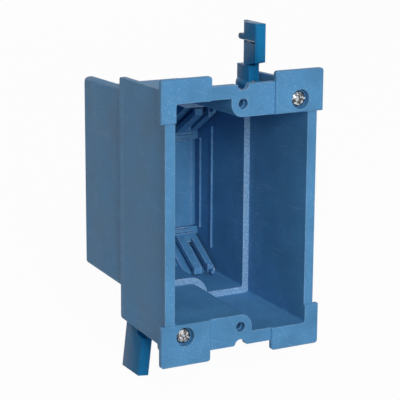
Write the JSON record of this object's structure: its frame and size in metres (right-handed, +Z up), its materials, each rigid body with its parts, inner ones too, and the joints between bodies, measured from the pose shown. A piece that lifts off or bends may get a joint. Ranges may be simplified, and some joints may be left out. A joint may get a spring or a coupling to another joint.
{
  "type": "old-work wall box",
  "caption": "Moulded one-gang wall box for finished drywall, with ears on the flange, swinging wall clamp arms on long screws and cable clamps inside.",
  "frame": {"origin": "midway between the two device screw holes, on the front face of the device plate", "axes": "-Y out of the front opening towards the room, +Y into the wall cavity, +Z up along the line of the two device screws, +X to the right as seen from the room"},
  "size_m": [0.0662, 0.0831, 0.1315],
  "materials": {
    "body_plastic": "frosted matt blue moulded plastic",
    "arm_plastic": "glossy teal blue moulded plastic",
    "screw_zinc": "bright zinc plated steel"
  },
  "bodies": {
    "box": {"box_body": "body_plastic"},
    "upper_screw": {"upper_arm_screw": "screw_zinc"},
    "upper_arm": {"upper_swing_arm": "arm_plastic"},
    "lower_screw": {"lower_arm_screw": "screw_zinc"},
    "lower_arm": {"lower_swing_arm": "arm_plastic"}
  },
  "joints": [
    {"name": "upper_arm_swing", "type": "hinge", "parent": "box", "child": "upper_screw", "pos_m": [0.0234, 0, 0.04167], "axis": [0, 1, 0], "range_deg": [-90, 6.6]},
    {"name": "upper_arm_travel", "type": "slide", "parent": "upper_screw", "child": "upper_arm", "axis": [0, -1, 0], "range_m": [0, 0.0173]},
    {"name": "lower_arm_swing", "type": "hinge", "parent": "box", "child": "lower_screw", "pos_m": [-0.0234, 0, -0.04167], "axis": [0, 1, 0], "range_deg": [-96.6, 0]},
    {"name": "lower_arm_travel", "type": "slide", "parent": "lower_screw", "child": "lower_arm", "axis": [0, -1, 0], "range_m": [0, 0.0173]}
  ]
}
